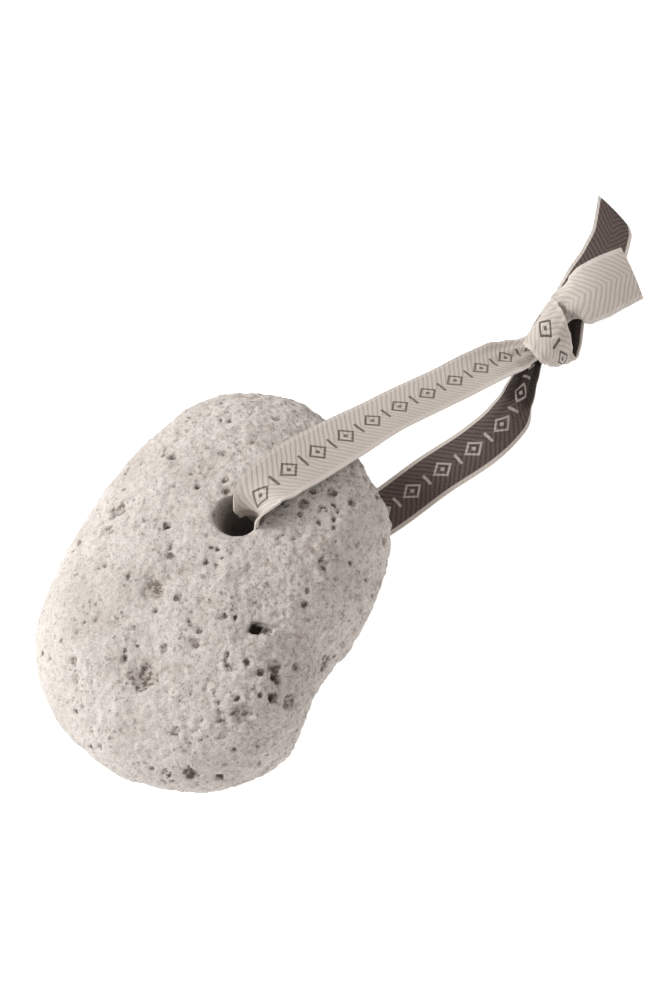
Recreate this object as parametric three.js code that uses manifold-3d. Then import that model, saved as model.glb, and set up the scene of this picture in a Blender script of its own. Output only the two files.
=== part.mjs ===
// A drilled pumice stone threaded on a loop of woven ribbon, whose ends are tied in one knot.
// Millimetres, +Z up. The origin lies on the worn flat patch that the stone rests on, under the
// stone's centre of mass.

import * as THREE from 'three';
import { mergeVertices } from 'three/addons/utils/BufferGeometryUtils.js';
import Module from 'manifold-3d';

const wasm = await Module();
wasm.setup();

// ---- driving dimensions ----

const STONE_HEIGHT = 40;       // from the resting surface to the top of the stone
const WAIST_HEIGHT = 18;       // the level at which the stone is widest
const WORN_AWAY = 1.2;         // how much of the round underside is worn off flat
const TOP_FULLNESS = 2.35;     // 2 is an ellipsoid, more is flatter on top
const UNDERSIDE_FULLNESS = 2;
const UNDERSIDE_LEAN = new THREE.Vector2(-6, -8);
const STONE_DETAIL = 15;

const HOLE_RADIUS = 4.8;
const HOLE_MOUTH_RADIUS = 5.2;
const HOLE_HALF_LENGTH = 18;
const MOUTH_DEPTH = 4;                               // over which each mouth widens
const CUTTER_OVERRUN = 12;
const HOLE_TOP = new THREE.Vector3(6.4, 9.6, 38);
const HOLE_SLANT = new THREE.Vector3(0.2, 0.1, -1).normalize();

const RIBBON_WIDTH = 12;
const RIBBON_THICKNESS = 0.8;
const GATHERED = { width: 5.6, thickness: 1.4 };   // where it is bunched up in the hole
const KNOT_CENTRE = new THREE.Vector3(80.6, 76.6, 5.8);
const KNOT_HALF_SIZE = new THREE.Vector3(6.8, 9, 5.7);

// The stone seen from above, at its waist, counter-clockwise.
const STONE_OUTLINE = [
  [35, -5], [40.5, 14], [33.5, 33], [18.5, 48.7], [1, 50], [-16, 38], [-29, 18],
  [-38.5, -8], [-35.5, -26], [-21.5, -41.5], [0, -46.5], [16, -39.5], [24.5, -24],
];

// Broad hollows and swellings, each pushed in or out towards the middle of the stone.
const SWELLS = [
  { at: [25, -23, 16], push: 0.8, reach: 10 },     // waist on the short flank
  { at: [23, 22, 1], push: 2.6, reach: 17 },       // arch that the ribbon runs under
  { at: [-30, -20, 30], push: -1.2, reach: 12 },
  { at: [14, -34, 30], push: -1, reach: 12 },
  { at: [-14, 26, 34], push: 1.1, reach: 12 },
  { at: [30, 20, 30], push: -1.2, reach: 13 },
];

// ---- manifold helpers ----

// A closed geometry as a solid that can be joined and cut.
function solid(geometry) {
  geometry.deleteAttribute('normal');
  geometry.deleteAttribute('uv');
  const merged = mergeVertices(geometry, 1e-5);
  return new wasm.Manifold(new wasm.Mesh({
    numProp: 3,
    vertProperties: new Float32Array(merged.attributes.position.array),
    triVerts: new Uint32Array(merged.index.array),
  }));
}

function geometryOf(shape) {
  const { vertProperties, triVerts } = shape.getMesh();
  const geometry = new THREE.BufferGeometry();
  geometry.setAttribute('position', new THREE.BufferAttribute(vertProperties, 3));
  geometry.setIndex(new THREE.BufferAttribute(triVerts, 1));
  geometry.computeVertexNormals();
  return geometry;
}

// Moves every vertex of a geometry with a function that changes the point it is given.
function moveVertices(geometry, move) {
  const position = geometry.attributes.position;
  const point = new THREE.Vector3();
  for (let i = 0; i < position.count; i += 1) {
    point.fromBufferAttribute(position, i);
    move(point);
    position.setXYZ(i, point.x, point.y, point.z);
  }
  return geometry;
}

// ---- the stone ----

// How far the stone reaches from its middle in each direction, in steps of one degree.
function outlineRadii() {
  const corners = STONE_OUTLINE.map(([x, y]) => new THREE.Vector3(x, y, 0));
  const curve = new THREE.CatmullRomCurve3(corners, true);
  const points = curve.getPoints(1440);
  const radii = new Array(360).fill(0);
  for (const point of points) {
    const degrees = THREE.MathUtils.radToDeg(Math.atan2(point.y, point.x));
    radii[(Math.round(degrees) + 360) % 360] = Math.hypot(point.x, point.y);
  }
  return radii;
}

function radiusTowards(x, y, radii) {
  const degrees = (THREE.MathUtils.radToDeg(Math.atan2(y, x)) + 360) % 360;
  const before = Math.floor(degrees);
  return THREE.MathUtils.lerp(radii[before], radii[(before + 1) % 360], degrees - before);
}

// Turns a point of the unit sphere into a point of the stone's skin.
function shapeStone(point, radii) {
  const { x, y, z } = point;
  const above = z >= 0;
  const power = 2 / (above ? TOP_FULLNESS : UNDERSIDE_FULLNESS);
  const flat = Math.hypot(x, y);
  const spread = flat === 0 ? 0 : (radiusTowards(x, y, radii) * flat ** power) / flat;
  const rise = Math.abs(z) ** power;
  point.set(x * spread, y * spread, WAIST_HEIGHT);
  if (above) {
    point.z += rise * (STONE_HEIGHT - WAIST_HEIGHT);
  } else {
    point.z -= rise * (WAIST_HEIGHT + WORN_AWAY);
    point.x += UNDERSIDE_LEAN.x * rise ** 2;
    point.y += UNDERSIDE_LEAN.y * rise ** 2;
  }
  const inwards = new THREE.Vector3(0, 0, WAIST_HEIGHT).sub(point).normalize();
  let push = 0;
  for (const swell of SWELLS) {
    const distance = point.distanceTo(new THREE.Vector3(...swell.at));
    push += swell.push * Math.exp(-((distance / swell.reach) ** 2));
  }
  point.addScaledVector(inwards, push);
  point.z = Math.max(point.z, 0);
}

// The drill's path, a little wider where the ribbon has worn both mouths.
function holeCutter() {
  const inner = HOLE_HALF_LENGTH - MOUTH_DEPTH;
  const outer = HOLE_HALF_LENGTH + CUTTER_OVERRUN;
  const profile = [
    [0, -outer], [HOLE_MOUTH_RADIUS, -outer], [HOLE_MOUTH_RADIUS, -HOLE_HALF_LENGTH],
    [HOLE_RADIUS, -inner], [HOLE_RADIUS, inner], [HOLE_MOUTH_RADIUS, HOLE_HALF_LENGTH],
    [HOLE_MOUTH_RADIUS, outer], [0, outer],
  ].map(([radius, along]) => new THREE.Vector2(radius, along));
  const cutter = new THREE.LatheGeometry(profile, 28);
  const turn = new THREE.Quaternion().setFromUnitVectors(new THREE.Vector3(0, -1, 0), HOLE_SLANT);
  cutter.applyQuaternion(turn);
  const centre = HOLE_TOP.clone().addScaledVector(HOLE_SLANT, HOLE_HALF_LENGTH);
  cutter.translate(centre.x, centre.y, centre.z);
  return solid(cutter);
}

function stoneGeometry() {
  const radii = outlineRadii();
  const ball = new THREE.IcosahedronGeometry(1, STONE_DETAIL);
  const lump = solid(moveVertices(ball, (point) => shapeStone(point, radii)));
  return geometryOf(lump.subtract(holeCutter()));
}

// ---- the ribbon ----

// The loop, from the knot over the stone, down the hole, under the stone and back to the knot.
// face is the way that the ribbon's right side looks.
const LOOP = [
  { at: [79.5, 75.5, 6.5], face: [-0.2, -0.4, 1], width: 7 },
  { at: [75, 72, 7.6], face: [-0.2, -0.2, 1], width: 7.5 },
  { at: [68.6, 67.2, 11], face: [-0.1, 0, 1], width: 10 },
  { at: [62.5, 61.6, 15], face: [-0.1, 0.1, 1] },
  { at: [53.5, 54, 20], face: [-0.1, 0.1, 1] },
  { at: [40.5, 43, 27], face: [-0.1, 0.1, 1] },
  { at: [28.5, 32.6, 33.8], face: [0, 0.1, 1] },
  { at: [20.5, 25, 38.2], face: [0, 0, 1] },
  { at: [14.6, 18.2, 40.9], face: [0, 0, 1], width: 8, thickness: 1.1 },
  { at: [10.2, 11.9, 41], face: [-0.7, -0.4, 0.8], width: 4.4, thickness: 1.3 },
  { at: [9.7, 10.4, 35], face: [-1, 0, 0], ...GATHERED },
  { at: [11.7, 11, 25], face: [-1, 0, 0], ...GATHERED },
  { at: [13.9, 12, 14], face: [-1, 0, 0], ...GATHERED },
  { at: [15.1, 12.9, 6.5], face: [-1, -0.2, -0.3], ...GATHERED },
  { at: [18, 15.6, 2.1], face: [-0.4, -0.3, -1], width: 6.4, thickness: 1.1 },
  { at: [24.6, 20.4, 1.1], face: [0, 0, -1], width: 10 },
  { at: [39.5, 30.5, 1.1], face: [0, 0, -1] },
  { at: [51, 40.3, 1.1], face: [0, 0, -1] },
  { at: [62.6, 48.8, 1.2], face: [0, 0, -1] },
  { at: [69.6, 55.8, 1.8], face: [-0.1, 0.1, -1], width: 10 },
  { at: [72.8, 62, 2.8], face: [-0.4, 0.3, -1], width: 8 },
  { at: [75, 69, 4.2], face: [-0.3, 0.2, -1], width: 7 },
  { at: [79.5, 75.5, 5], face: [-0.3, 0.2, -1], width: 7 },
];
const FACE_UP_TAIL = [
  { at: [82, 79.5, 7.6], face: [0, -0.3, 1], width: 7 },
  { at: [85.4, 83.6, 9.6], face: [-0.2, -0.3, 1], width: 9 },
  { at: [92.4, 87.4, 11], face: [0, -0.25, 1] },
  { at: [101.4, 93, 9.4], face: [0.2, -0.25, 1] },
];
const FACE_DOWN_TAIL = [
  { at: [83, 79, 4.4], face: [0, 0, -1], width: 6 },
  { at: [88.6, 91, 3.6], face: [0, 0, -1], width: 8 },
  { at: [95.6, 102.4, 2.8], face: [0, 0, -1] },
  { at: [99.6, 114.6, 2.6], face: [-0.1, 0.1, -1] },
];

function vectorOf(list) {
  return new THREE.Vector3(...list);
}

// A flat strip that follows its stations, as one closed solid.
function strip(stations, stepsPerSpan) {
  const spans = stations.length - 1;
  const curve = new THREE.CatmullRomCurve3(stations.map((station) => vectorOf(station.at)));
  const blend = (t, value) => {
    const place = Math.min(t * spans, spans - 1e-6);
    const before = Math.floor(place);
    return THREE.MathUtils.lerp(value(stations[before]), value(stations[before + 1]), place - before);
  };
  const box = new THREE.BoxGeometry(1, 1, 1, 2, 1, spans * stepsPerSpan);
  moveVertices(box, (point) => {
    const t = point.z + 0.5;
    const along = curve.getTangent(t);
    const [x, y, z] = [0, 1, 2].map((axis) => blend(t, (station) => station.face[axis]));
    const across = new THREE.Vector3(x, y, z).cross(along).normalize();
    const face = along.clone().cross(across);
    const width = blend(t, (station) => station.width ?? RIBBON_WIDTH);
    const thickness = blend(t, (station) => station.thickness ?? RIBBON_THICKNESS);
    across.multiplyScalar(point.x * width).addScaledVector(face, point.y * thickness);
    point.copy(curve.getPoint(t)).add(across);
  });
  return solid(box);
}

function knot() {
  const lump = new THREE.IcosahedronGeometry(1, 6);
  lump.scale(KNOT_HALF_SIZE.x, KNOT_HALF_SIZE.y, KNOT_HALF_SIZE.z);
  lump.rotateZ(THREE.MathUtils.degToRad(-25));
  lump.translate(KNOT_CENTRE.x, KNOT_CENTRE.y, KNOT_CENTRE.z);
  return solid(lump);
}

function ribbonGeometry() {
  const loop = strip(LOOP, 4);
  const tails = strip(FACE_UP_TAIL, 4).add(strip(FACE_DOWN_TAIL, 4));
  return geometryOf(loop.add(knot()).add(tails));
}

// ---- the part ----

function piece(name, geometry, material) {
  const mesh = new THREE.Mesh(geometry, new THREE.MeshStandardMaterial(material));
  mesh.name = name;
  return mesh;
}

const part = new THREE.Group();
part.add(piece('pumice_stone', stoneGeometry(), { color: 0xd6d0c9, roughness: 0.95, metalness: 0 }));
part.add(piece('ribbon', ribbonGeometry(), { color: 0xcdc5ba, roughness: 0.85, metalness: 0 }));

export default part;
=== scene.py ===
import math
import random

import bpy
import numpy as np
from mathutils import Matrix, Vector, kdtree, noise


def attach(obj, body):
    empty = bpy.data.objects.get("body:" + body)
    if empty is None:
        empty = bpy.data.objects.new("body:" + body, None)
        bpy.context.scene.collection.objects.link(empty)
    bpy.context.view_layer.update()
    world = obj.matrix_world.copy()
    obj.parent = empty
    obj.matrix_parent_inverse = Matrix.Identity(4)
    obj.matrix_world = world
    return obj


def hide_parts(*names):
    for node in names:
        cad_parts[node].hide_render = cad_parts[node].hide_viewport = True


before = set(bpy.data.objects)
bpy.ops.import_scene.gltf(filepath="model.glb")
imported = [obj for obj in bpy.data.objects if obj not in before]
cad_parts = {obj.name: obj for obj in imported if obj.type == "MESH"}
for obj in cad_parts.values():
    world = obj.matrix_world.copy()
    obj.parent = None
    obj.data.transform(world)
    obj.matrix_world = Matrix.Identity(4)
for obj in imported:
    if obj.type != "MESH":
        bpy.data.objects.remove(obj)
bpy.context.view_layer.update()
MM = 0.001


# ---- Camera ----
# It looks down on the lying stone from in front, high enough to see its broad upper side
# and down into the drilled hole.

CAMERA_HEIGHT_ANGLE = math.radians(62)
CAMERA_DISTANCE = 0.532
AIM = Vector((27.2, 18.7, 29.9)) * MM

back = Vector((0, -math.cos(CAMERA_HEIGHT_ANGLE), math.sin(CAMERA_HEIGHT_ANGLE)))
camera_data = bpy.data.cameras.new("camera")
camera_data.lens = 85
camera_data.sensor_width = 36
camera = bpy.data.objects.new("camera", camera_data)
camera.location = AIM + back * CAMERA_DISTANCE
camera.rotation_mode = "QUATERNION"
camera.rotation_quaternion = (-back).to_track_quat("-Z", "Y")
bpy.context.scene.collection.objects.link(camera)
bpy.context.scene.camera = camera


# ---- Pumice stone ----
# One natural lump of volcanic froth, tumbled to a pebble and drilled through. Its skin is
# grainy and pale, with gas bubbles of all sizes cut open in it.

VOXEL = 0.5 * MM
# Each layer of unevenness: name, kind, size across, height, middle level and depth of detail.
LUMPS = (
    ("broad_lumps", "SOFT_NOISE", 12 * MM, 1.7 * MM, 0.5, 1),
    ("knobs", "HARD_NOISE", 4.2 * MM, -1.0 * MM, 0.3, 2),
    ("crumbs", "HARD_NOISE", 1.7 * MM, -0.6 * MM, 0.3, 2),
    ("grains", "SOFT_NOISE", 0.9 * MM, 0.34 * MM, 0.5, 2),
)
HOLE_AXIS = (Vector((6.4, 9.6, 38)) * MM, Vector((0.2, 0.1, -1)).normalized())
HOLE_CALM = (5.0 * MM, 6.6 * MM)

# Open bubbles that stand out: place near the skin, radius and depth, in millimetres.
BUBBLES = (
    ((-13.5, -27.5, 34), 3.2, 1.1), ((10.4, -17, 37), 1.55, 3.4), ((12.9, -17, 37), 1.25, 1.3),
    ((14, -25, 34), 1.6, 1.4), ((14.8, -26.8, 33), 1.4, 1.5), ((11.5, -25.5, 34), 0.95, 1.2),
    ((13.3, -30.5, 31), 1.3, 1.6), ((16.5, -31, 29), 2.0, 0.9), ((25.5, -19.5, 24), 2.3, 1.0),
    ((-3, -45, 24), 1.9, 1.5), ((-20, 12.5, 33), 1.9, 1.2), ((-9, 26.5, 36), 1.0, 1.6),
    ((-11, 27.7, 35), 0.6, 1.0), ((-3, 17.5, 39), 0.75, 1.3), ((-9, 7, 39), 1.0, 1.5),
    ((-8.5, 0, 39.5), 0.85, 1.1), ((-21.5, -1, 34), 0.6, 1.1), ((-12, -8.5, 38), 3.0, 0.7),
    ((-6, -11, 39), 1.05, 0.9), ((-2, -21, 37.5), 1.3, 1.0), ((-1, -18.5, 38), 0.7, 1.2),
    ((4, -15, 38.5), 0.75, 1.3), ((6.5, -15.2, 38.5), 0.6, 1.1), ((-24, -37, 21), 0.6, 1.1),
    ((-26, -31, 26), 0.6, 1.0), ((-30.5, -20, 26), 0.6, 1.0), ((-6, -38, 31), 1.2, 0.6),
    ((2, 36, 33), 0.5, 0.9), ((4, 35, 33), 0.5, 0.9), ((3.2, 38, 32), 0.5, 0.9),
    ((3, 26, 37), 0.9, 0.8), ((3.6, 15.6, 39.5), 1.1, 0.9), ((30, 2, 31), 0.6, 1.0),
    ((-21.5, 8, 33.5), 2.0, 0.45), ((7.5, -34, 32), 2.2, 0.5), ((20.5, 13.3, 37.5), 1.3, 1.3),
    ((22.5, 16.5, 36.5), 1.0, 1.1), ((27.5, 17.5, 34.5), 1.3, 1.0), ((30.5, 15.5, 33), 1.0, 1.2),
    ((19.5, 10.2, 38), 0.75, 1.0), ((24.7, 13, 36), 0.7, 1.0),
)
SMALL_BUBBLES = 200
BUBBLE_NESTS = 18
NEST_REACH = 2.6 * MM
SEED = 7
WORN_RISE = 1.2 * MM
# The stone is smoother towards its left flank, and its flecks and grit, partly painted shade, thin out
# towards it: where that starts and ends, in X.
SMOOTH_FLANK = (-35 * MM, 10 * MM)
THIN_SPECKLE_FLANK = (-35 * MM, 20 * MM)
# Painted shade darkens the wall of the hole within this radius and between these heights.
HOLE_SHADE_RADIUS = 5.7 * MM
HOLE_SHADE_HEIGHTS = (1 * MM, 39 * MM)
HOLE_SHADE_FADE = 7 * MM
FULLY_SUNK = 2 * MM
# The colours of the pumice, from the skin down into its bubbles and pores; the bubble and pore darks are
# partly the glass's own and partly painted shade.
SKIN, SKIN_BLOTCH = (0.672, 0.638, 0.596, 1), (0.577, 0.542, 0.502, 1)
# Pale grain: partly the stone's own pale glass, partly painted light on the raised grain tips.
PALE_GRAIN_AND_LIGHT = (0.76, 0.73, 0.69, 1)
# Flecks and grit: partly the stone's own mottle, partly painted shade in the recesses of its grain.
FLECK_AND_SHADE, GRIT_AND_SHADE, DUST = (0.35, 0.295, 0.255, 1), (0.29, 0.24, 0.205, 1), (0.3, 0.255, 0.22, 1)
# Bubble wall and floor: partly the glass's own dark, partly painted shade, near black at the bottom.
BUBBLE_WALL_AND_SHADE, BUBBLE_FLOOR_AND_SHADE = (0.14, 0.108, 0.09, 1), (0.035, 0.026, 0.022, 1)
# Pore colour: partly the glass's own dark, partly painted shade in pores too small to model. The hole-wall
# colour is painted shade.
PORE_AND_SHADE, HOLE_WALL_SHADE = (0.11, 0.082, 0.068, 1), (0.15, 0.12, 0.105, 1)


def pick_only(obj):
    bpy.ops.object.select_all(action="DESELECT")
    obj.select_set(True)
    bpy.context.view_layer.objects.active = obj


def finish_modifier(obj, kind, **settings):
    """Adds a modifier with these settings and applies it."""
    pick_only(obj)
    bpy.ops.object.modifier_add(type=kind)
    modifier = obj.modifiers[-1]
    for key, value in settings.items():
        setattr(modifier, key, value)
    bpy.ops.object.modifier_apply(modifier=modifier.name)


def welded_copy(node_name, name):
    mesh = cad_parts[node_name].data.copy()
    mesh.materials.clear()
    copy = bpy.data.objects.new(name, mesh)
    bpy.context.scene.collection.objects.link(copy)
    pick_only(copy)
    bpy.ops.object.mode_set(mode="EDIT")
    bpy.ops.mesh.select_all(action="SELECT")
    bpy.ops.mesh.remove_doubles(threshold=1e-6)
    bpy.ops.object.mode_set(mode="OBJECT")
    return copy


def vertices_of(mesh):
    places = np.empty(len(mesh.vertices) * 3)
    mesh.vertices.foreach_get("co", places)
    return places.reshape(-1, 3)


def normals_of(mesh):
    normals = np.empty(len(mesh.vertices) * 3)
    mesh.vertices.foreach_get("normal", normals)
    return normals.reshape(-1, 3)


def distance_from_hole(places):
    start, direction = (np.array(v) for v in HOLE_AXIS)
    offset = places - start
    return np.linalg.norm(offset - np.outer(offset @ direction, direction), axis=1)


def share_between(values, limits):
    """0 at the lower limit and 1 at the upper one."""
    low, high = limits
    return (values - low) / (high - low)


def roughen(stone):
    """Lumps, knobs and grain, fading out in the drilled hole and on the worn patch below."""
    places = vertices_of(stone.data)
    calm = np.clip(share_between(distance_from_hole(places), HOLE_CALM), 0.15, 1)
    worn = np.clip(places[:, 2] / WORN_RISE, 0, 1)
    group = stone.vertex_groups.new(name="rough")
    flank = np.clip(share_between(places[:, 0], SMOOTH_FLANK), 0, 1)
    for index, weight in enumerate(calm * worn * (0.6 + 0.4 * flank)):
        group.add([index], float(weight), "REPLACE")
    for name, kind, size, height, middle, depth in LUMPS:
        texture = bpy.data.textures.new(name, "CLOUDS")
        texture.noise_type = kind
        texture.noise_scale = size
        texture.noise_depth = depth
        finish_modifier(
            stone, "DISPLACE", texture=texture, texture_coords="LOCAL", strength=height,
            mid_level=middle, vertex_group="rough",
        )


def keep_for_material(stone, name, values):
    attribute = stone.data.attributes.new(name, "FLOAT", "POINT")
    attribute.data.foreach_set("value", values)


def open_bubbles(stone):
    """Sinks every bubble into the skin, and keeps how deep each point lies for the material."""
    places, normals = vertices_of(stone.data), normals_of(stone.data)
    tree = kdtree.KDTree(len(places))
    for index, place in enumerate(places):
        tree.insert(place, index)
    tree.balance()
    shuffle = random.Random(SEED)
    bubbles = [(Vector(place) * MM, radius * MM, depth * MM) for place, radius, depth in BUBBLES]
    for _ in range(SMALL_BUBBLES):
        place = Vector(places[shuffle.randrange(len(places))])
        radius = (0.5 + 0.55 * shuffle.random() ** 3) * MM
        bubbles.append((place, radius, radius * shuffle.uniform(0.5, 1.3)))
    for _ in range(BUBBLE_NESTS):
        middle = Vector(places[shuffle.randrange(len(places))])
        for _ in range(shuffle.randint(4, 9)):
            aside = Vector(shuffle.uniform(-1, 1) for _ in range(3)) * NEST_REACH
            bubbles.append((middle + aside, shuffle.uniform(0.5, 0.85) * MM, shuffle.uniform(0.5, 1.1) * MM))
    sunk = np.zeros(len(places))
    for place, radius, depth in bubbles:
        centre, nearest, _ = tree.find(place)
        inwards = -normals[nearest]
        for point, index, distance in tree.find_range(centre, radius * 1.7):
            wobble = noise.noise(point / (0.9 * radius)) + 0.6 * noise.noise(point / (0.8 * MM))
            share = max(0.0, 1 - (distance / (radius * (1 + 0.45 * wobble))) ** 2)
            drop = depth * share ** 0.72 * (1 + 0.3 * noise.noise(point / (0.7 * MM)))
            if drop > sunk[index]:
                places[index] += inwards * (drop - sunk[index])
                sunk[index] = drop
    places[:, 2] = np.maximum(places[:, 2], 0)
    stone.data.vertices.foreach_set("co", places.ravel())
    keep_for_material(stone, "sunk", np.clip(sunk / FULLY_SUNK, 0, 1))
    # Painted shade: mark the wall of the hole for darkening, fading in from both mouths.
    low, high = HOLE_SHADE_HEIGHTS
    depth = np.minimum(high - places[:, 2], places[:, 2] - low)
    in_hole = distance_from_hole(places) < HOLE_SHADE_RADIUS
    keep_for_material(stone, "drilled", in_hole * np.clip(depth / HOLE_SHADE_FADE, 0, 1))
    stone.data.update()


class Nodes:
    """Short calls for building one material's node tree."""

    def __init__(self, name):
        self.material = bpy.data.materials.new(name)
        self.material.use_nodes = True
        self.tree = self.material.node_tree
        self.shader = self.tree.nodes["Principled BSDF"]

    def add(self, kind, inputs=(), **settings):
        node = self.tree.nodes.new("ShaderNode" + kind)
        for key, value in settings.items():
            setattr(node, key, value)
        for key, value in dict(inputs).items():
            self.plug(value, node.inputs[key])
        return node

    def plug(self, value, socket):
        if isinstance(value, bpy.types.NodeSocket):
            self.tree.links.new(value, socket)
        elif isinstance(value, bpy.types.Node):
            self.tree.links.new(value.outputs[0], socket)
        else:
            socket.default_value = value

    def math(self, operation, first, second=0.0, clamp=False):
        node = self.add("Math", {0: first, 1: second}, operation=operation)
        node.use_clamp = clamp
        return node.outputs[0]

    def noise(self, place, scale, detail=2.0, roughness=0.5):
        inputs = {"Vector": place, "Scale": scale, "Detail": detail, "Roughness": roughness}
        return self.add("TexNoise", inputs).outputs["Fac"]

    def band(self, value, low, high):
        """0 below low, 1 above high, smooth between."""
        inputs = {"Value": value, "From Min": low, "From Max": high}
        return self.add("MapRange", inputs, interpolation_type="SMOOTHSTEP").outputs["Result"]

    def mix(self, share, first, second):
        node = self.add("Mix", data_type="RGBA")
        self.plug(share, node.inputs["Factor"])
        self.plug(first, node.inputs["A"])
        self.plug(second, node.inputs["B"])
        return node.outputs["Result"]


def pores(nodes, place, scale, size, share):
    """Ragged holes of mixed size, one in each chosen cell: scale is cells to the metre."""
    cells = nodes.add("TexVoronoi", {"Vector": place, "Scale": scale})
    chance = nodes.add("SeparateColor", {"Color": cells.outputs["Color"]})
    reach = nodes.math("MULTIPLY", nodes.math("ADD", chance.outputs["Green"], 0.35), size)
    depth = nodes.math("SUBTRACT", 1.0, nodes.math("DIVIDE", cells.outputs["Distance"], reach), clamp=True)
    depth = nodes.math("POWER", depth, 0.6)
    return nodes.math("MULTIPLY", depth, nodes.math("LESS_THAN", chance.outputs["Red"], share))


def pumice_material():
    nodes = Nodes("pumice")
    place = nodes.add("TexCoord").outputs["Object"]
    shake = nodes.add("TexNoise", {"Vector": place, "Scale": 700, "Detail": 3}).outputs["Color"]
    shaken = nodes.add("VectorMath", {0: shake, 1: (0.0016, 0.0016, 0.0016)}, operation="MULTIPLY")
    ragged = nodes.add("VectorMath", {0: place, 1: shaken}, operation="ADD")
    blotches = nodes.band(nodes.noise(place, 75, 4, 0.6), 0.4, 0.66)
    crowding = nodes.band(nodes.noise(place, 160, 3, 0.6), 0.42, 0.62)
    flank = nodes.band(nodes.add("SeparateXYZ", {0: place}).outputs["X"], *THIN_SPECKLE_FLANK)
    flank = nodes.math("ADD", nodes.math("MULTIPLY", flank, 0.75), 0.3)
    mottle = nodes.noise(ragged, 330, 5, 0.7)
    grain = nodes.noise(place, 1050, 5, 0.72)
    colour = nodes.mix(blotches, SKIN, SKIN_BLOTCH)
    # Painted shade, partly real mottle: flecks and grit darken where the bump sinks, less so towards the
    # left flank.
    flecks_and_shade = nodes.math("MULTIPLY", nodes.math("MULTIPLY", nodes.band(mottle, 0.53, 0.68), 0.62), flank)
    colour = nodes.mix(flecks_and_shade, colour, FLECK_AND_SHADE)
    grit_and_shade = nodes.math("MULTIPLY", nodes.math("MULTIPLY", nodes.band(grain, 0.53, 0.65), 0.62), flank)
    colour = nodes.mix(grit_and_shade, colour, GRIT_AND_SHADE)
    # Painted light, partly real pale glass: the raised grain tips are lightened.
    lights = nodes.math("SUBTRACT", 1.0, nodes.band(grain, 0.34, 0.46))
    colour = nodes.mix(nodes.math("MULTIPLY", lights, 0.5), colour, PALE_GRAIN_AND_LIGHT)
    dust = nodes.band(nodes.noise(place, 2600, 3, 0.7), 0.46, 0.6)
    colour = nodes.mix(nodes.math("MULTIPLY", dust, 0.34), colour, DUST)
    # Painted shade, partly the glass's own dark: bubbles darken with depth, near black at the deepest.
    sunk = nodes.add("Attribute", attribute_name="sunk").outputs["Fac"]
    crumbs = nodes.band(nodes.noise(ragged, 750, 3, 0.65), 0.45, 0.55)
    shade = nodes.math("ADD", nodes.math("MULTIPLY", crumbs, 0.66), 0.2)
    shade = nodes.math("MULTIPLY", nodes.band(sunk, 0.03, 0.25), shade)
    colour = nodes.mix(shade, colour, BUBBLE_WALL_AND_SHADE)
    deep = nodes.math("MULTIPLY", nodes.band(sunk, 0.42, 0.95), 0.93)
    colour = nodes.mix(deep, colour, BUBBLE_FLOOR_AND_SHADE)
    # Painted shade, partly the glass's own dark: pores too small to model are darkened specks.
    tiny = pores(nodes, ragged, 1500, 0.52, 0.3)
    tiny = nodes.math("MULTIPLY", tiny, nodes.math("MAXIMUM", crowding, 0.45))
    small = pores(nodes, ragged, 800, 0.42, 0.24)
    small = nodes.math("MULTIPLY", small, nodes.math("MAXIMUM", crowding, 0.25))
    medium = pores(nodes, ragged, 420, 0.26, 0.07)
    larger = nodes.math("MAXIMUM", small, medium)
    open_pores = nodes.math("MAXIMUM", nodes.math("MULTIPLY", tiny, 0.75), larger)
    colour = nodes.mix(nodes.math("MULTIPLY", open_pores, 0.8), colour, PORE_AND_SHADE)
    # Painted shade deep in the drilled hole.
    drilled = nodes.add("Attribute", attribute_name="drilled").outputs["Fac"]
    colour = nodes.mix(nodes.math("MULTIPLY", drilled, 0.75), colour, HOLE_WALL_SHADE)
    nodes.plug(colour, nodes.shader.inputs["Base Color"])
    nodes.shader.inputs["Roughness"].default_value = 0.95
    nodes.shader.inputs["Specular IOR Level"].default_value = 0.15
    height = nodes.math("ADD", nodes.math("MULTIPLY", grain, -0.6), nodes.math("MULTIPLY", mottle, -0.8))
    height = nodes.math("SUBTRACT", height, nodes.math("MULTIPLY", open_pores, 0.5))
    bump = nodes.add("Bump", {"Strength": 0.9, "Distance": 0.6 * MM, "Height": height})
    nodes.plug(bump.outputs["Normal"], nodes.shader.inputs["Normal"])
    return nodes.material


stone = welded_copy("pumice_stone", "drilled_pumice")
finish_modifier(stone, "REMESH", mode="VOXEL", voxel_size=VOXEL)
finish_modifier(stone, "SMOOTH", factor=0.5, iterations=8)
roughen(stone)
open_bubbles(stone)
pick_only(stone)
bpy.ops.object.shade_smooth()
stone.data.materials.append(pumice_material())
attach(stone, "root")
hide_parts("pumice_stone")


# ---- Woven ribbon ----
# One length of herringbone tape, cream on its right side and dark taupe on its wrong side,
# with cream selvedges. It goes down the hole and back under the stone, and both ends are
# tied in one knot.

TAPE_WIDTH = 12 * MM
TAPE_THICKNESS = 0.45 * MM
ROW_STEP = 0.35 * MM
THREADS_ACROSS = 22
PLEATS = 3
PLEAT_HEIGHT = 0.5
PICOT = 0.02 * MM
PICOT_PITCH = 1.3 * MM
CUT_REACH = 7 * MM
CUT_SLANTS = (-0.75, 0.08)
WRONG_SIDE = 100
RIB_PITCH = 1.55
SELVEDGE_FROM = 5.05
MOTIF_PITCH = 9.5
MOTIF_RUN = (50, 308)
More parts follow.
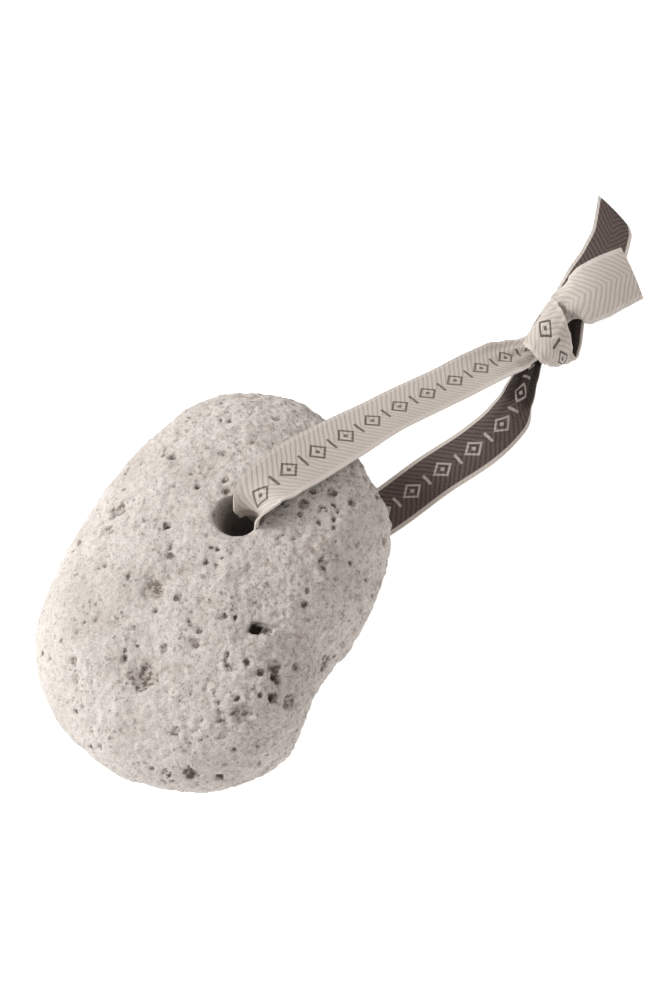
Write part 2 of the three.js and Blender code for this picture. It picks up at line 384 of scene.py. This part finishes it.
# Where painted shade darkens the wrong side inside the knot, along the tape: the middle and half the length,
# in mm.
SHADE_TURN, SHADE_EXIT = (52, 18), (306, 8)
CREAM, CREAM_LOW = (0.585, 0.54, 0.49, 1), (0.475, 0.43, 0.385, 1)
TAUPE, TAUPE_LOW = (0.12, 0.09, 0.08, 1), (0.066, 0.047, 0.041, 1)
TAUPE_SHADE, SELVEDGE, LINT = (0.02, 0.015, 0.013, 1), (0.62, 0.575, 0.525, 1), (0.3, 0.26, 0.23, 1)
THREAD_PITCH = 0.42
LOZENGE_LENGTH, LOZENGE_WIDTH = 2.9, 2.3


def station(place, face, gather=0.0, curl=0.0, spread=1.0, skew=0.0):
    """A point of the route in millimetres: the way the right side looks, how far the tape is
    bunched up, its curl across in degrees, how far its width is let out, and its shear in degrees."""
    return np.array([*place, *face, gather, curl, spread, skew], float)


# The whole route, from the cut end of the taupe tail to the cut end of the cream one.
ROUTE = [
    # taupe tail, wrong side up, lying on the table
    station((99.2, 116.2, 3.2), (-0.3, 0.1, -1), 0, -25, 0.76),
    station((98.3, 109.6, 2.6), (-0.15, 0.1, -1), 0, -12, 0.86),
    station((95.7, 102.8, 2.5), (0, 0.05, -1), 0, -12, 0.94),
    station((92.3, 96.6, 2.8), (0, 0, -1), 0, -20),
    station((88.8, 91.2, 3.2), (0, 0, -1), 0.1, -25),
    station((86.6, 86.4, 3.3), (0, 0, -1), 0.25, 10),
    station((85.7, 82.0, 2.6), (0.05, 0, -1), 0.33, 70),
    station((85.6, 78.0, 1.7), (0.1, 0, -1), 0.36, 105),
    station((85.0, 74.4, 1.25), (0.1, 0, -1), 0.22, 100, 0.76),
    # up round the right side of the knot and over its top
    station((84.5, 71.7, 1.6), (0.25, -0.5, -1), 0.12, 80, 0.62),
    station((83.9, 70.5, 3.6), (0.5, -0.85, -0.2), 0.1, 80, 0.64),
    station((83.5, 70.8, 6.1), (0.5, -0.75, 0.35), 0.08, 75, 0.76, -10),
    station((82.5, 71.8, 8.5), (0.3, -0.45, 0.85), 0.05, 55, 0.94, -18),
    station((81.0, 73.6, 10.0), (-0.05, -0.2, 1), 0.02, 30, 1.1, -27),
    station((79.3, 76.3, 10.3), (-0.3, -0.05, 1), 0, 25, 1.15, -26),
    station((77.9, 79.0, 9.0), (-0.65, 0.3, 0.75), 0, 20, 1.18, -15),
    station((77.5, 80.9, 6.2), (-0.86, 0.5, 0.1), 0, 20, 1.15, 0),
    station((78.7, 81.0, 3.4), (-0.5, 0.4, -0.75), 0.25, 20),
    # a tighter turn inside the first
    station((81.4, 78.9, 2.9), (0, 0, -1), 0.5, 20),
    station((83.8, 76.6, 4.1), (0.7, -0.5, -0.5), 0.55, 20),
    station((83.6, 75.2, 6.5), (0.7, -0.6, 0.3), 0.55, 20),
    station((81.2, 75.2, 8.0), (0.1, -0.2, 1), 0.55, 10),
    station((78.0, 73.9, 7.6), (-0.2, -0.3, 1), 0.3, 10, 0.7),
    # the front strand up to the stone
    station((75.0, 72.1, 7.3), (-0.2, -0.2, 1), 0.2, 30, 0.74),
    station((72.0, 70.0, 8.6), (-0.15, -0.1, 1), 0.12, 10, 0.9),
    station((68.4, 67.0, 11.0), (-0.1, 0, 1), 0.04, -20),
    station((62.5, 61.7, 15), (-0.08, 0.1, 1), 0, -15),
    station((53.5, 54, 20), (-0.08, 0.14, 1), 0, 5),
    station((40.5, 43, 27), (-0.08, 0.12, 1), 0, 10),
    station((29.1, 31.9, 33.8), (-0.03, 0.06, 1), 0, 6, 1.08),
    station((21.2, 24.3, 38), (0, 0, 1), 0, 4, 1.1),
    station((15.2, 18.2, 40.7), (-0.1, -0.1, 1), 0, -12, 1.04),
    # over the rim and down the hole, curled into a gutter in its right-hand half
    station((11.6, 13.9, 41.1), (-0.4, -0.3, 0.85), 0, -58),
    station((10.7, 11.2, 38.5), (-0.75, -0.55, 0.3), 0, -180),
    station((11.3, 10.8, 35), (-0.9, -0.4, 0.1), 0, -200),
    station((12.0, 10.5, 31), (-1, -0.1, 0), 0, -170),
    station((14.0, 11.3, 21.5), (-1, 0, 0), 0, -150),
    station((16.0, 12.2, 12), (-1, 0, 0), 0, -150),
    station((16.9, 13.0, 6.5), (-1, -0.2, -0.3), 0.15, -115),
    # away under the stone, right side down
    station((19.4, 15.9, 2.3), (-0.4, -0.3, -1), 0.2, -40),
    station((25, 20.4, 1.0), (0, 0, -1), 0.05, -5),
    station((39.5, 30.5, 0.8), (0, 0, -1)),
    station((51.3, 40.2, 0.8), (0, 0, -1)),
    station((62.6, 48.5, 1.2), (0, 0, -1), 0, -10),
    station((69.6, 55.3, 2.2), (-0.1, 0.1, -1), 0.08, -30),
    station((72.9, 61.3, 3.3), (-0.35, 0.2, -1), 0.26, -60),
    station((74.9, 67.0, 3.6), (-0.3, 0.1, -1), 0.42, -60),
    # through the middle of the knot, rolling over as it goes
    station((76.8, 71.4, 4.3), (-0.2, 0.1, -1), 0.6, -40),
    station((78.9, 75.0, 5.2), (0.3, -0.3, -0.7), 0.64, 0),
    station((81.2, 78.6, 6.0), (0.7, -0.5, 0.0), 0.62, 40),
    station((83.0, 81.8, 7.3), (0.2, -0.5, 0.8), 0.42, 95),
    # cream tail, right side up
    station((85.4, 83.9, 9.8), (-0.2, -0.3, 0.9), 0.1, 130, 1.12),
    station((88.7, 85.1, 11.2), (-0.05, -0.3, 0.95), 0, 105, 1.27),
    station((92.7, 87.3, 11.6), (0.05, -0.3, 0.95), 0, 72, 1.3),
    station((97.0, 90.0, 11.0), (0.1, -0.28, 0.95), 0, 40, 1.24),
    station((101.8, 93.0, 9.8), (0.2, -0.25, 0.95), 0, 20, 1.18),
]


def smooth_rows(stations):
    """The stations joined by one smooth curve and read off at an even step along it."""
    controls = np.array([2 * stations[0] - stations[1], *stations, 2 * stations[-1] - stations[-2]])
    rows = []
    for k in range(1, len(controls) - 2):
        p0, p1, p2, p3 = controls[k - 1:k + 3]
        for t in np.linspace(0, 1, 24, endpoint=False):
            place = 0.5 * (2 * p1 + (p2 - p0) * t + (2 * p0 - 5 * p1 + 4 * p2 - p3) * t ** 2
                           + (3 * p1 - p0 - 3 * p2 + p3) * t ** 3)
            eased = p1 + (p2 - p1) * t * t * (3 - 2 * t)
            rows.append(np.concatenate([place[:3], eased[3:]]))
    rows.append(controls[-2])
    rows = np.array(rows)
    rows[:, :3] *= MM
    run = np.concatenate([[0], np.cumsum(np.linalg.norm(np.diff(rows[:, :3], axis=0), axis=1))])
    count = int(run[-1] / ROW_STEP)
    even = np.linspace(0, run[-1], count + 1)
    return np.column_stack([np.interp(even, run, rows[:, column]) for column in range(rows.shape[1])]), even


def unit(vectors):
    return vectors / np.linalg.norm(vectors, axis=-1, keepdims=True)


def tape_surface(rows, run):
    """The middle surface of the tape: pleated where it is bunched, and curled across."""
    places, faces = rows[:, :3], rows[:, 3:6]
    gather, spread = rows[:, 6:7], rows[:, 8:9]
    curl, skew = np.radians(rows[:, 7:8]), np.radians(rows[:, 9:10])
    along = unit(np.gradient(places, axis=0))
    across = unit(np.cross(faces, along))
    faces = np.cross(along, across)
    across = across * np.cos(skew) + along * np.sin(skew)
    share = np.linspace(-1, 1, THREADS_ACROSS + 1)[None, :]
    chord = TAPE_WIDTH * spread * (1 - gather)
    depth = PLEAT_HEIGHT * chord / (math.pi * PLEATS) * np.sqrt(gather / (1 - gather))
    pleat = depth * np.sin(math.pi * PLEATS * (share + 1) + 0.8)
    picot = PICOT * np.sin(2 * math.pi * run / PICOT_PITCH)[:, None] * (np.abs(share) > 0.99)
    flat = share * chord / 2 + np.sign(share) * picot
    curl = np.where(np.abs(curl) < 0.02, 0.02, curl)
    radius = chord / curl
    angle = flat / radius
    side = (radius + pleat) * np.sin(angle)
    lift = (radius + pleat) * np.cos(angle) - radius
    surface = places[:, None] + across[:, None] * side[..., None] + faces[:, None] * lift[..., None]
    for end, slope in zip((run, run[-1] - run), CUT_SLANTS):
        fade = np.clip(1 - end / CUT_REACH, 0, 1)[:, None]
        surface += along[:, None] * (slope * side * fade)[..., None]
    return surface


def tape_mesh(surface, run):
    """A closed sheet: right side, wrong side and both edges, with a UV map in tape widths."""
    rows, columns = surface.shape[:2]
    normal = unit(np.cross(np.gradient(surface, axis=0), np.gradient(surface, axis=1)))
    right = surface + normal * TAPE_THICKNESS / 2
    wrong = surface - normal * TAPE_THICKNESS / 2
    vertices = np.concatenate([right.reshape(-1, 3), wrong.reshape(-1, 3)])
    back = rows * columns
    faces, uvs = [], []

    def quad(corners, places):
        faces.append(corners)
        uvs.extend(places)

    for i in range(rows - 1):
        low, high = run[i] / MM, run[i + 1] / MM
        for j in range(columns - 1):
            a, b = i * columns + j, i * columns + j + 1
            c, d = b + columns, a + columns
            left, other = (k * TAPE_WIDTH / MM / (columns - 1) for k in (j, j + 1))
            quad((a, d, c, b), ((left, low), (left, high), (other, high), (other, low)))
            left, other = WRONG_SIDE + left, WRONG_SIDE + other
            quad((back + a, back + b, back + c, back + d),
                 ((left, low), (other, low), (other, high), (left, high)))
        for j, flip in ((0, False), (columns - 1, True)):
            a, d = i * columns + j, (i + 1) * columns + j
            corners = (a, d, back + d, back + a)
            quad(corners if flip else corners[::-1], ((0, low), (0, high), (0, high), (0, low)))
    for i, flip in ((0, True), (rows - 1, False)):
        at = run[i] / MM
        for j in range(columns - 1):
            a, b = i * columns + j, i * columns + j + 1
            corners = (a, b, back + b, back + a)
            quad(corners if flip else corners[::-1], ((0, at), (0, at), (0, at), (0, at)))
    mesh = bpy.data.meshes.new("knotted_ribbon")
    mesh.from_pydata(vertices.tolist(), [], faces)
    layer = mesh.uv_layers.new(name="weave")
    layer.data.foreach_set("uv", np.array(uvs).ravel())
    mesh.update()
    return mesh


def ribbon_material():
    nodes = Nodes("herringbone_tape")
    parts = nodes.add("SeparateXYZ", {0: nodes.add("UVMap", uv_map="weave")})
    wrong_side = nodes.math("GREATER_THAN", parts.outputs["X"], WRONG_SIDE / 2)
    u = nodes.math("SUBTRACT", parts.outputs["X"], nodes.math("MULTIPLY", wrong_side, WRONG_SIDE))
    v = parts.outputs["Y"]
    aside = nodes.math("ABSOLUTE", nodes.math("SUBTRACT", u, TAPE_WIDTH / MM / 2))
    wander = nodes.math("MULTIPLY", nodes.noise(nodes.add("TexCoord").outputs["Object"], 300, 1), 0.8)
    chevron = nodes.math("ADD", nodes.math("ADD", v, nodes.math("MULTIPLY", aside, 0.95)), wander)
    line = nodes.math("SINE", nodes.math("MULTIPLY", chevron, 2 * math.pi / RIB_PITCH))
    ridge = nodes.band(line, -0.9, 0.2)
    thread = nodes.math("SINE", nodes.math("MULTIPLY", u, 2 * math.pi / THREAD_PITCH))
    pick = nodes.math("SINE", nodes.math("MULTIPLY", v, 2 * math.pi / THREAD_PITCH))
    stitch = nodes.math("MULTIPLY", nodes.math("PINGPONG", v, 0.3), 0.25)
    selvedge = nodes.band(nodes.math("ADD", aside, stitch), SELVEDGE_FROM, SELVEDGE_FROM + 0.1)
    beside = nodes.math("SUBTRACT", nodes.math("MODULO", v, MOTIF_PITCH), MOTIF_PITCH / 2)
    beside = nodes.math("ABSOLUTE", beside)
    lozenge = nodes.math("DIVIDE", beside, LOZENGE_LENGTH)
    lozenge = nodes.math("ADD", lozenge, nodes.math("DIVIDE", aside, LOZENGE_WIDTH))
    rim = nodes.math("SUBTRACT", nodes.band(lozenge, 0.68, 0.74), nodes.band(lozenge, 0.98, 1.04))
    centre = nodes.math("SUBTRACT", 1.0, nodes.band(lozenge, 0.22, 0.3))
    bar = nodes.math("MULTIPLY", nodes.band(beside, MOTIF_PITCH / 2 - 0.42, MOTIF_PITCH / 2 - 0.34),
                     nodes.math("SUBTRACT", 1.0, nodes.band(aside, 1.5, 1.6)))
    motif = nodes.math("MAXIMUM", nodes.math("MAXIMUM", rim, centre), bar)
    motif = nodes.math("MULTIPLY", motif, nodes.math("GREATER_THAN", v, MOTIF_RUN[0]))
    motif = nodes.math("MULTIPLY", motif, nodes.math("LESS_THAN", v, MOTIF_RUN[1]))
    cream = nodes.mix(ridge, CREAM_LOW, CREAM)
    # Painted shade: the wrong side turns near black inside the knot.
    turn = nodes.math("ABSOLUTE", nodes.math("SUBTRACT", v, SHADE_TURN[0]))
    exit_end = nodes.math("ABSOLUTE", nodes.math("SUBTRACT", v, SHADE_EXIT[0]))
    unshaded = nodes.math("MINIMUM", nodes.band(turn, SHADE_TURN[1], SHADE_TURN[1] + 8),
                       nodes.band(exit_end, SHADE_EXIT[1], SHADE_EXIT[1] + 3))
    deep = nodes.math("SUBTRACT", 1.0, unshaded)
    taupe = nodes.mix(ridge, TAUPE_LOW, TAUPE)
    taupe = nodes.mix(nodes.math("MULTIPLY", deep, 0.75), taupe, TAUPE_SHADE)
    right = nodes.mix(nodes.math("MULTIPLY", motif, 0.85), cream, taupe)
    wrong = nodes.mix(nodes.math("MULTIPLY", motif, 0.75), taupe, cream)
    colour = nodes.mix(wrong_side, right, wrong)
    colour = nodes.mix(selvedge, colour, SELVEDGE)
    fuzz = nodes.band(nodes.noise(nodes.add("TexCoord").outputs["Object"], 2200, 3), 0.35, 0.75)
    colour = nodes.mix(nodes.math("MULTIPLY", fuzz, 0.14), colour, LINT)
    nodes.plug(colour, nodes.shader.inputs["Base Color"])
    nodes.shader.inputs["Roughness"].default_value = 0.9
    nodes.shader.inputs["Specular IOR Level"].default_value = 0.2
    nodes.shader.inputs["Sheen Weight"].default_value = 0.1
    weave = nodes.math("MULTIPLY", nodes.math("ADD", thread, pick), 0.1)
    height = nodes.math("ADD", nodes.math("MULTIPLY", ridge, 0.7), weave)
    bump = nodes.add("Bump", {"Strength": 0.7, "Distance": 0.12 * MM, "Height": height})
    nodes.plug(bump.outputs["Normal"], nodes.shader.inputs["Normal"])
    return nodes.material


ribbon_rows, ribbon_run = smooth_rows(ROUTE)
ribbon_mesh = tape_mesh(tape_surface(ribbon_rows, ribbon_run), ribbon_run)
ribbon = bpy.data.objects.new("knotted_ribbon", ribbon_mesh)
bpy.context.scene.collection.objects.link(ribbon)
pick_only(ribbon)
bpy.ops.object.shade_smooth_by_angle(angle=math.radians(50))
ribbon_mesh.materials.append(ribbon_material())
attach(ribbon, "root")
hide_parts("ribbon")


# ---- Floor and light ----
# A pale floor that glows a little, a broad soft light from the upper left, a faint one from in
# front and a dim, slightly warm surround.

FLOOR_REACH = 12

bpy.ops.object.select_all(action="DESELECT")
bpy.ops.mesh.primitive_plane_add(size=FLOOR_REACH, location=(0, 0, 0))
floor = bpy.context.object
floor.name = "floor"
paper = Nodes("pale_paper")
paper.shader.inputs["Base Color"].default_value = (0.8, 0.8, 0.8, 1)
paper.shader.inputs["Roughness"].default_value = 0.9
paper.shader.inputs["Emission Color"].default_value = (1, 1, 1, 1)
paper.shader.inputs["Emission Strength"].default_value = 0.7
floor.data.materials.append(paper.material)


def area_light(name, place, power, size):
    light = bpy.data.lights.new(name, "AREA")
    light.energy = power
    light.size = size
    lamp = bpy.data.objects.new(name, light)
    lamp.location = place
    lamp.rotation_mode = "QUATERNION"
    lamp.rotation_quaternion = (AIM - lamp.location).to_track_quat("-Z", "Y")
    bpy.context.scene.collection.objects.link(lamp)


area_light("key", Vector((-0.92, 0.18, 0.72)), 11.8, 0.4)
area_light("fill", Vector((-0.3, -0.9, 0.9)), 0.7, 0.9)
world = bpy.context.scene.world or bpy.data.worlds.new("surround")
bpy.context.scene.world = world
world.use_nodes = True
world.node_tree.nodes["Background"].inputs["Color"].default_value = (1, 0.94, 0.925, 1)
world.node_tree.nodes["Background"].inputs["Strength"].default_value = 0.6
bpy.context.scene.view_settings.view_transform = "Standard"
